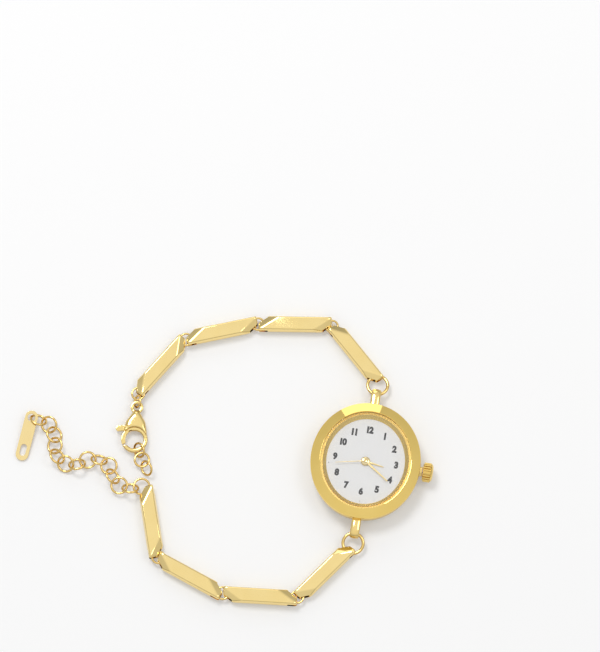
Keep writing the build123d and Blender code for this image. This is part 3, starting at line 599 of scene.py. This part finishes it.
bend = calculation("MULTIPLY", calculation("SUBTRACT", inlet.outputs["Ring diameter"], inlet.outputs["Wire"]), 0.5)
wire_radius = calculation("MULTIPLY", inlet.outputs["Wire"], 0.5)
sweep = calculation("SUBTRACT", 2 * math.pi, inlet.outputs["Slit angle"])
arc = nodes.new("GeometryNodeCurveArc")
arc.inputs["Resolution"].default_value = 64
ring_tree.links.new(bend, arc.inputs["Radius"])
ring_tree.links.new(inlet.outputs["Slit place"], arc.inputs["Start Angle"])
ring_tree.links.new(sweep, arc.inputs["Sweep Angle"])
section = nodes.new("GeometryNodeCurvePrimitiveCircle")
section.inputs["Resolution"].default_value = 16
ring_tree.links.new(wire_radius, section.inputs["Radius"])
body = nodes.new("GeometryNodeCurveToMesh")
body.inputs["Fill Caps"].default_value = True
ring_tree.links.new(arc.outputs["Curve"], body.inputs["Curve"])
ring_tree.links.new(section.outputs["Curve"], body.inputs["Profile Curve"])
whole = nodes.new("GeometryNodeRealizeInstances")
ring_tree.links.new(body.outputs["Mesh"], whole.inputs[0])
paint = nodes.new("GeometryNodeSetMaterial")
ring_tree.links.new(whole.outputs[0], paint.inputs["Geometry"])
ring_tree.links.new(inlet.outputs["Finish"], paint.inputs["Material"])
ring_tree.links.new(paint.outputs[0], outlet.inputs["Geometry"])


def set_inputs(modifier, tree, values):
    """Modifier inputs are set by their identifiers, found from their names."""
    for item in tree.interface.items_tree:
        if item.item_type == "SOCKET" and item.in_out == "INPUT" and item.name in values:
            modifier[item.identifier] = values[item.name]


def facing(node):
    """Matrix that puts a ring of the XY plane where a CAD ring is."""
    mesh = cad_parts[node].data
    points = np.empty(len(mesh.vertices) * 3)
    mesh.vertices.foreach_get("co", points)
    points = np.unique(points.reshape(-1, 3).round(7), axis=0)
    middle = points.mean(axis=0)
    spread = np.linalg.svd(points - middle, full_matrices=False)[2]
    z_way = Vector(spread[2])
    if z_way.z < 0:
        z_way = -z_way
    x_way = Vector(spread[0])
    y_way = z_way.cross(x_way)
    turn = Matrix((x_way, y_way, z_way)).transposed().to_4x4()
    return Matrix.Translation(Vector(middle)) @ turn


def wire_ring(node, diameter, wire, slit_place):
    piece = object_from(f"wire_{node}", bpy.data.meshes.new(node))
    tree_modifier = piece.modifiers.new("ring", "NODES")
    tree_modifier.node_group = ring_tree
    set_inputs(tree_modifier, ring_tree, {
        "Ring diameter": diameter * MM, "Wire": wire * MM, "Slit angle": 0.06 * wire / diameter,
        "Slit place": slit_place, "Finish": ring_gold,
    })
    baked(piece)
    piece.data.transform(facing(node))
    smooth_by_angle(piece.data, 50)
    # Facing values for the painted side shade of the ring gold.
    mark_crests(piece.data)
    return hand_over(piece, node, "polished_gold", node)


# %% Bend every ring
ring_sizes = {"jump_ring": (5.1, 0.7), "link_ring": (3.1, 0.45), "clasp_end_ring": (3.1, 0.45),
              "clasp_ring": (3.1, 0.5), "hooked_ring": (3.6, 0.5), "chain_ring": (3.95, 0.5)}
turn = 0.4
for node in sorted(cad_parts):
    for kind, (diameter, wire) in ring_sizes.items():
        if node.startswith(kind):
            wire_ring(node, diameter, wire, turn)
            turn += 2.4

# %% [markdown]
# ## The case, bezel and inner ring
# These were turned or pressed round an oval. One function takes a profile, as half widths and heights, and
# carries it round the oval in many steps, so that the curves are smooth where the CAD model has flats.
# The dial and the back are plain discs here, without the CAD model's centre hole and hollow.

# %% Oval turning
oval_steps = 240


def oval_point(half_width, height, step):
    angle = 2 * math.pi * step / oval_steps
    return lean @ Vector((half_width * math.cos(angle), (half_width + oval_rise) * math.sin(angle), height))


def oval_turned(name, profile, material, closed=True):
    """Solid with a profile carried round the oval; an open profile is capped at both ends."""
    points, faces = [], []
    rows = len(profile)
    for step in range(oval_steps):
        points += [oval_point(half_width, height, step) for half_width, height in profile]
    for step in range(oval_steps):
        after = (step + 1) % oval_steps
        for row in range(rows if closed else rows - 1):
            up = (row + 1) % rows
            faces.append((step * rows + row, after * rows + row, after * rows + up, step * rows + up))
    if not closed:
        faces.append(tuple(step * rows for step in range(oval_steps)))
        faces.append(tuple(step * rows + rows - 1 for step in range(oval_steps)))
    piece = object_from(name, mesh_from(name, points, faces), material)
    smooth_by_angle(piece.data, 28)
    return piece


bezel = oval_turned("turned_bezel", [
    (11.15, 3.5), (11.94, 3.5), (12.0, 3.56), (12.0, 4.72), (11.95, 4.82), (10.08, 5.66), (9.98, 5.7),
    (9.93, 5.69), (9.9, 5.65), (9.9, 4.525), (11.15, 4.525),
], bezel_gold)
hand_over(bezel, "case", "polished_gold", "bezel")

inner_ring = oval_turned("turned_inner_ring", [
    (8.55, 4.04), (9.14, 4.04), (9.14, 4.525), (9.85, 4.525), (9.85, 4.925), (9.6, 4.925), (9.56, 4.68), (9.42, 4.68),
    (9.38, 4.9), (9.3, 4.85), (8.64, 4.14), (8.55, 4.1),
], rim_gold)
hand_over(inner_ring, "case", "polished_gold", "inner_ring")

crystal = oval_turned("ground_crystal", [
    (9.8, 4.96), (9.84, 5.0), (9.84, 5.7), (9.78, 5.78), (9.66, 5.839), (9.5, 5.849),
], crystal_clear, closed=False)
hand_over(crystal, "case", "crystal_glass", "crystal")

case_back = oval_turned("pressed_back", [
    (9.4, 0.0), (10.32, 0.0), (10.5, 0.06), (10.58, 0.2), (10.6, 0.32), (10.6, 0.8), (9.7, 0.8), (9.7, 1.5), (9.4, 1.5),
], back_steel, closed=False)
hand_over(case_back, "case", "case_back_steel", "case_back")

dial = oval_turned("lacquered_dial", [
    (9.68, 3.65), (9.7, 3.67), (9.7, 4.0), (9.68, 4.024),
], dial_lacquer, closed=False)
hand_over(dial, "case", "dial_white", "dial")

# %% [markdown]
# ## The case middle with its lugs and crown tube
# The lugs are short bars that run out from the case at 12 and 6, bend over at the end and close round the
# jump ring. A swept rounded section gives that soft form; the CAD model has a plain block with a cross
# hole. The crown tube is a plain ring in the side.

# %% Case middle
case_shell = oval_turned("pressed_case", [
    (9.75, 0.85), (11.25, 0.85), (11.5, 0.9), (11.64, 1.05), (11.7, 1.3), (11.7, 3.38), (11.66, 3.45), (11.1, 3.45),
    (11.1, 4.5), (9.2, 4.5), (9.2, 4.05), (9.75, 4.05),
], case_gold)
smooth_by_angle(case_shell.data, 35)


def swept(path, widths, heights, section_points=20):
    """Rounded bar along a path in the YZ plane, with a width and a height at each point."""
    points, faces = [], []
    count = len(path)
    for index, (along, level) in enumerate(path):
        before = Vector(path[max(index - 1, 0)])
        after = Vector(path[min(index + 1, count - 1)])
        way = (after - before).normalized()
        out = Vector((-way.y, way.x))
        for corner in range(section_points):
            angle = 2 * math.pi * corner / section_points
            side = math.cos(angle) * widths[index] / 2
            rise = math.sin(angle) * heights[index] / 2
            points.append((side, along + out.x * rise, level + out.y * rise))
    for index in range(count - 1):
        for corner in range(section_points):
            after = (corner + 1) % section_points
            first, second = index * section_points, (index + 1) * section_points
            faces.append((first + corner, first + after, second + after, second + corner))
    faces.append(tuple(range(section_points)))
    faces.append(tuple((count - 1) * section_points + corner for corner in range(section_points)))
    return points, faces


lug_hole_at, lug_hole_height = 15.6, 2.0
lug_ring_radius = 1.03
path, widths, heights = [], [], []
for along in (11.0, 12.2, 13.2, 14.2, 15.0):
    path.append((along, lug_hole_height + lug_ring_radius))
    widths.append(2.05)
    heights.append(0.75)
for step in range(1, 15):
    angle = math.radians(90 - 20 * step)
    path.append((lug_hole_at + lug_ring_radius * math.cos(angle), lug_hole_height + lug_ring_radius * math.sin(angle)))
    widths.append(2.05 - 0.02 * step)
    heights.append(0.56)
lug_points, lug_faces = swept(path, widths, heights)
root_path = [(11.0, 2.3), (12.6, 2.4), (13.9, 2.6), (14.9, 2.93)]
root_points, root_faces = swept(root_path, [2.05, 2.05, 2.0, 1.9], [1.9, 1.8, 1.4, 0.5])

lugs = []
for name, turn in (("lug_12", 0), ("lug_6", math.pi)):
    place = lean @ Matrix.Rotation(turn, 4, "Z")
    parts = ((f"{name}_loop", lug_points, lug_faces), (f"{name}_root", root_points, root_faces))
    for part_name, points, faces in parts:
        mesh = mesh_from(part_name, [place @ Vector(p) for p in points], faces)
        piece = object_from(part_name, mesh, case_gold)
        smooth_by_angle(piece.data, 50)
        lugs.append(piece)
stem_height = 2.35
tube_points = []
tube_rows = [(1.05, 11.4), (1.05, 12.43), (0.98, 12.5), (0.55, 12.5), (0.55, 11.4)]
tube_steps = 48
for step in range(tube_steps):
    angle = 2 * math.pi * step / tube_steps
    for radius, along in tube_rows:
        tube_points.append(lean @ Vector((along, radius * math.cos(angle), stem_height + radius * math.sin(angle))))
tube_faces = []
rows = len(tube_rows)
for step in range(tube_steps):
    here, there = step * rows, (step + 1) % tube_steps * rows
    for row in range(rows):
        up = (row + 1) % rows
        tube_faces.append((here + row, there + row, there + up, here + up))
tube = object_from("crown_tube", mesh_from("crown_tube", tube_points, tube_faces), case_gold)
smooth_by_angle(tube.data, 35)
hand_over(case_shell, "case", "polished_gold", "case_middle")
for piece in (*lugs, tube):
    hand_over(piece, "case", "polished_gold")

# %% [markdown]
# ## The crown
# The crown is gripped by its fluted edge. Its barrel is turned, and Geometry Nodes set the ribs round it:
# one rounded rib, placed on a circle and repeated. Its outer end is a low dome.

# %% Crown barrel
crown_from = 12.6
barrel_rows = [
    (0.0, 0.0), (1.75, 0.0), (1.9, 0.08), (1.9, 0.16), (1.76, 0.2), (1.76, 1.7), (1.98, 1.75), (1.9, 1.95),
    (1.62, 2.14), (1.2, 2.24), (0.7, 2.28), (0.0, 2.3),
]
points, faces = [], []
turns = 72
for step in range(turns):
    angle = 2 * math.pi * step / turns
    for radius, along in barrel_rows:
        points.append((crown_from + along, radius * math.cos(angle), stem_height + radius * math.sin(angle)))
rows = len(barrel_rows)
for step in range(turns):
    after = (step + 1) % turns
    for row in range(rows - 1):
        faces.append((step * rows + row, after * rows + row, after * rows + row + 1, step * rows + row + 1))
barrel = mesh_from("crown_barrel", [lean @ Vector(p) for p in points], faces)
shape = bmesh.new()
shape.from_mesh(barrel)
bmesh.ops.remove_doubles(shape, verts=shape.verts, dist=0.001 * MM)
bmesh.ops.recalc_face_normals(shape, faces=shape.faces)
shape.to_mesh(barrel)
shape.free()
crown = object_from("crown_barrel", barrel, crown_gold)
smooth_by_angle(crown.data, 40)
hand_over(crown, "crown", "polished_gold", "crown")

# %% Crown ribs
rib_tree = bpy.data.node_groups.new("ribs_round_a_barrel", "GeometryNodeTree")
group_socket(rib_tree, "Barrel radius", "NodeSocketFloat", "INPUT", 0.002)
group_socket(rib_tree, "Rib length", "NodeSocketFloat", "INPUT", 0.0015)
group_socket(rib_tree, "Rib radius", "NodeSocketFloat", "INPUT", 0.00018)
group_socket(rib_tree, "Count", "NodeSocketInt", "INPUT", 20)
group_socket(rib_tree, "Finish", "NodeSocketMaterial", "INPUT")
group_socket(rib_tree, "Geometry", "NodeSocketGeometry", "OUTPUT")
nodes = rib_tree.nodes
inlet, outlet = nodes.new("NodeGroupInput"), nodes.new("NodeGroupOutput")
rim = nodes.new("GeometryNodeMeshCircle")
rib_tree.links.new(inlet.outputs["Count"], rim.inputs["Vertices"])
rib_tree.links.new(inlet.outputs["Barrel radius"], rim.inputs["Radius"])
rib = nodes.new("GeometryNodeMeshCylinder")
rib.inputs["Vertices"].default_value = 12
rib_tree.links.new(inlet.outputs["Rib radius"], rib.inputs["Radius"])
rib_tree.links.new(inlet.outputs["Rib length"], rib.inputs["Depth"])
place_ribs = nodes.new("GeometryNodeInstanceOnPoints")
rib_tree.links.new(rim.outputs["Mesh"], place_ribs.inputs["Points"])
rib_tree.links.new(rib.outputs["Mesh"], place_ribs.inputs["Instance"])
whole = nodes.new("GeometryNodeRealizeInstances")
rib_tree.links.new(place_ribs.outputs["Instances"], whole.inputs[0])
paint = nodes.new("GeometryNodeSetMaterial")
rib_tree.links.new(whole.outputs[0], paint.inputs["Geometry"])
rib_tree.links.new(inlet.outputs["Finish"], paint.inputs["Material"])
rib_tree.links.new(paint.outputs[0], outlet.inputs["Geometry"])

ribs = object_from("crown_ribs", bpy.data.meshes.new("crown_ribs"))
rib_modifier = ribs.modifiers.new("ribs", "NODES")
rib_modifier.node_group = rib_tree
set_inputs(rib_modifier, rib_tree, {
    "Barrel radius": 1.93 * MM, "Rib length": 1.5 * MM, "Rib radius": 0.19 * MM, "Count": 20, "Finish": crown_gold,
})
baked(ribs)
ribs_middle = Vector((crown_from + 0.97, 0, stem_height)) * MM
crown_place = lean @ Matrix.Translation(ribs_middle) @ Matrix.Rotation(math.pi / 2, 4, "Y")
ribs.data.transform(crown_place)
smooth_by_angle(ribs.data, 60)
hand_over(ribs, "crown", "polished_gold")
print("crown ribs:", len(ribs.data.polygons), "faces")

# %% [markdown]
# ## Hands
# Three slim pressed hands sit on one hub. Each blade tapers and has a faint ridge down its middle, which
# is what makes a real hand glint on one side. The hub is a stack of round collars.

# %% Blades and collars
def blade(name, length, root_width, tip_width, tail, bottom, thickness, degrees, material):
    """Tapered hand blade with a ridge, turned clockwise from 12."""
    half_root, half_tip = root_width / 2, tip_width / 2
    top, ridge = bottom + thickness * 0.85, bottom + thickness
    half_tail = half_root * 0.7
    outline = [
        (-half_tail, -tail), (half_tail, -tail), (half_root, 0), (half_tip, length), (-half_tip, length),
        (-half_root, 0),
    ]
    points = [(x, y, level) for level in (bottom, top) for x, y in outline]
    points += [(0, -tail, ridge), (0, 0, ridge), (0, length, ridge)]
    faces = [
        (0, 5, 4, 3, 2, 1), (0, 1, 7, 12, 6), (1, 2, 8, 7), (2, 3, 9, 8), (3, 4, 10, 14, 9), (4, 5, 11, 10),
        (5, 0, 6, 11), (7, 8, 13, 12), (8, 9, 14, 13), (6, 12, 13, 11), (11, 13, 14, 10),
    ]
    place = lean @ Matrix.Rotation(math.radians(degrees), 4, "Z")
    piece = object_from(name, mesh_from(name, [place @ Vector(p) for p in points], faces), material)
    return piece


def collar(name, rows, material, steps=64):
    """Round piece about the hands' axis, from radius and height pairs; open ends are capped."""
    points, faces = [], []
    count = len(rows)
    for step in range(steps):
        angle = 2 * math.pi * step / steps
        points += [(radius * math.cos(angle), radius * math.sin(angle), height) for radius, height in rows]
    for step in range(steps):
        after = (step + 1) % steps
        for row in range(count - 1):
            faces.append((step * count + row, after * count + row, after * count + row + 1, step * count + row + 1))
    faces.append(tuple(step * count for step in range(steps)))
    faces.append(tuple(step * count + count - 1 for step in range(steps)))
    piece = object_from(name, mesh_from(name, points, faces), material)
    smooth_by_angle(piece.data, 35)
    return piece


hour_blade = blade("hour_blade", 4.1, 0.44, 0.16, 0.0, 4.145, 0.12, -99.6, hand_gold)
hour_collar = collar("hour_collar", [(0.98, 4.145), (1.0, 4.165), (1.0, 4.2), (0.91, 4.265)], hub_gold)
minute_blade = blade("minute_blade", 6.5, 0.42, 0.24, 0.0, 4.385, 0.12, -125.0, hand_gold)
minute_collar = collar("minute_collar", [(0.83, 4.385), (0.85, 4.405), (0.85, 4.44), (0.75, 4.505)], hub_gold)
second_blade = blade("second_blade", 6.6, 0.17, 0.09, 0.0, 4.625, 0.09, -258.7, hand_gold)
second_collar = collar("second_collar", [
    (0.2, 1.54), (0.2, 4.625), (0.45, 4.625), (0.475, 4.645), (0.475, 4.68), (0.4, 4.745), (0.31, 4.745), (0.27, 4.66),
    (0.13, 4.64), (0.1, 4.56),
], hub_gold)
hand_over(hour_blade, "hour", "hand_gold", "hour_hand")
hand_over(hour_collar, "hour", "hand_gold")
hand_over(minute_blade, "minute", "hand_gold", "minute_hand")
hand_over(minute_collar, "minute", "hand_gold")
hand_over(second_blade, "second", "hand_gold", "second_hand")
hand_over(second_collar, "second", "hand_gold")

# %% [markdown]
# ## Printed numbers
# The dial carries plain dark numbers from 1 to 12, upright along the dial's own axis, and fine minute
# dots near its edge. Ink has almost no thickness, so the text is a very thin mesh on the lacquer.

# %% Numbers and dots
number_height, number_radius, ink_level = 1.6, 6.72, 4.026


def printed_number(number):
    text = bpy.data.curves.new(f"number_{number}", "FONT")
    text.body = str(number)
    text.size = 1.0
    text.align_x, text.align_y = "LEFT", "BOTTOM"
    text.extrude = 0.004
    text.offset = 0.018
    text.bevel_depth = 0.05
    text.bevel_resolution = 0
    text.space_character = 0.86
    holder = bpy.data.objects.new(f"number_{number}", text)
    scene.collection.objects.link(holder)
    graph = bpy.context.evaluated_depsgraph_get()
    mesh = bpy.data.meshes.new_from_object(holder.evaluated_get(graph))
    bpy.data.objects.remove(holder)
    spots = np.empty(len(mesh.vertices) * 3)
    mesh.vertices.foreach_get("co", spots)
    spots = spots.reshape(-1, 3)
    low, high = spots.min(axis=0), spots.max(axis=0)
    size = number_height / (high[1] - low[1])
    centre = (low + high) / 2
    angle = math.radians(90 - 30 * number)
    beside = 0.42 if number == 10 else 0.0
    place = Matrix.Translation(Vector((
        number_radius * math.cos(angle) + beside, (number_radius + 0.2) * math.sin(angle) + 0.2, ink_level,
    )))
    grow = Matrix.Diagonal((size * 0.92, size, 0.2, 1.0))
    back = Matrix.Translation(Vector((-centre[0], -centre[1], 0)))
    mesh.transform(Matrix.Scale(MM, 4) @ lean @ place @ grow @ back)
    return mesh


shape = bmesh.new()
for number in range(1, 13):
    shape.from_mesh(printed_number(number))
for minute in (30, 43.5):
    angle = math.radians(90 - 6 * minute)
    spot = lean @ Vector((8.0 * math.cos(angle), (8.0 + oval_rise) * math.sin(angle), ink_level))
    bmesh.ops.create_circle(shape, cap_ends=True, segments=12, radius=0.09 * MM,
                            matrix=Matrix.Translation(spot * MM))
numbers_mesh = bpy.data.meshes.new("printed_numbers")
shape.to_mesh(numbers_mesh)
shape.free()
numbers = object_from("printed_numbers", numbers_mesh, dial_ink)
hand_over(numbers, "case", "dial_white")
print("numbers:", len(numbers_mesh.polygons), "faces")

# %% [markdown]
# ## The lobster clasp
# The clasp is cast: a hollow, domed back that flows into a hook, with a lever in its side. Casting and
# tumbling leave no sharp edge anywhere. A voxel remesh of the CAD solid, followed by smoothing, gives
# that melted softness all over at once, which bevels cannot do on such a shape.

# %% Cast clasp
clasp_eye = Vector((-49.901, 12.797, 0))
clasp_bow = Vector((-50.410, 5.515, 0))
clasp_middle, bow_half = 1.3, 0.5


def swollen(mesh):
    """Turn the dome's flat top and bottom into a bulge between the eye and the bow."""
    along = (clasp_bow - clasp_eye).normalized()
    across = Vector((-along.y, along.x, 0))

    def bulge(amount):
        amount = min(max(amount, 0.0), 1.0)
        return math.sqrt(1 - (1 - amount) ** 2)

    for vertex in mesh.vertices:
        point = vertex.co / MM
        rise = point.z - clasp_middle
        over = abs(rise) - bow_half
        if over > 0:
            flat = Vector((point.x, point.y, 0))
            side = (flat - clasp_eye).dot(across) / 4
            share = bulge(((flat - clasp_eye).dot(along) - 0.5) / 2.2)
            share *= bulge(((flat - clasp_bow).length - 2.4) / 0.9)
            share *= math.sqrt(max(1 - side ** 2, 0.0))
            vertex.co.z = (clasp_middle + math.copysign(bow_half + over * share, rise)) * MM


def cast_copy(node, name, material, voxel, passes, shaping=None):
    piece = object_from(name, solid_copy(node, name), material)
    remesh = piece.modifiers.new("cast", "REMESH")
    remesh.mode = "VOXEL"
    remesh.voxel_size = voxel * MM
    if shaping:
        baked(piece)
        shaping(piece.data)
    soften = piece.modifiers.new("tumbled", "SMOOTH")
    soften.factor = 0.5
    soften.iterations = passes
    baked(piece)
    for face in piece.data.polygons:
        face.use_smooth = True
    piece.data.materials.clear()
    piece.data.materials.append(material)
    # Facing values for the painted side shade of the piece's metal.
    mark_crests(piece.data)
    return piece


clasp = cast_copy("clasp_body", "cast_clasp", clasp_gold, 0.085, 9, swollen)
hand_over(clasp, "clasp", "polished_gold", "clasp_body")
lever = cast_copy("clasp_lever", "cast_lever", clasp_gold, 0.06, 6)
hand_over(lever, "clasp_lever", "polished_gold", "clasp_lever")
print("clasp faces:", len(clasp.data.polygons), "lever faces:", len(lever.data.polygons))

# %% [markdown]
# ## The end tag
# A thin stamped tag with a ring hole and a slot. Stamping and tumbling round its rims, so it is the CAD
# shape with a soft bevel.

# %% Tag
tag = object_from("stamped_tag", solid_copy("end_tag", "stamped_tag"), tag_gold)
rounded_edges(tag, 0.16, segments=3)
flats_first(tag)
# Facing values for the painted side shade of the tag gold.
mark_crests(tag.data)
hand_over(tag, "end_tag", "polished_gold", "end_tag")

# %% [markdown]
# ## Inside the case
# The movement is hidden by the dial and the case back. Its CAD solids stay as they are, and get metals and
# plastic of their own. The finished back is a solid disc, so it overlaps the battery and the plate.

# %% Finish the CAD nodes that stay
inside = {
    "movement_holder": holder_plastic, "movement_plate": plate_nickel, "battery": part_steel,
    "setting_lever": part_steel, "setting_stem": part_steel,
    "hour_wheel": wheel_brass, "cannon_pinion": wheel_brass, "minute_wheel": wheel_brass,
    "clasp_rivet": bar_gold, "clasp_spring": part_steel,
}
for node, material in inside.items():
    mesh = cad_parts[node].data
    for index in range(max(1, len(mesh.materials))):
        if len(mesh.materials) <= index:
            mesh.materials.append(material)
        mesh.materials[index] = material
print("inside pieces:", len(inside))
